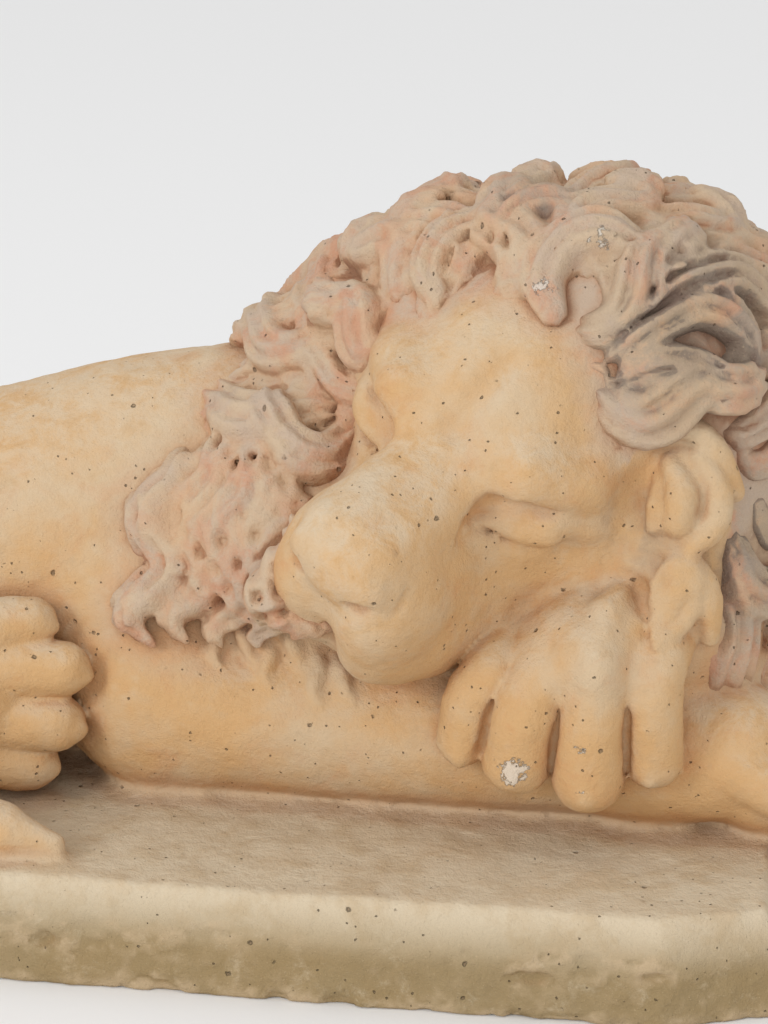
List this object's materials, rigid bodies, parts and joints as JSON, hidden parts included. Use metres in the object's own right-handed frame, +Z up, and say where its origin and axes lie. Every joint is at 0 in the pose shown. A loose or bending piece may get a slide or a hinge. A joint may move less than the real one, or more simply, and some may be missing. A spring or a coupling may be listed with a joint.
{
  "type": "sleeping lion garden sculpture",
  "caption": "Sleeping lion cast in stone in one piece with its oblong plinth, head resting on crossed forepaws.",
  "frame": {"origin": "centre of the plinth's flat underside, on the ground", "axes": "+X along the plinth towards the head, +Z up, -Y the side that the picture shows"},
  "size_m": [0.8364, 0.33, 0.3897],
  "materials": {
    "cast_stone": "matt, weathered ochre cast stone with a rosy mane, pale wear and grey soot"
  },
  "bodies": {
    "root": {"lion_on_plinth": "cast_stone"}
  },
  "joints": []
}
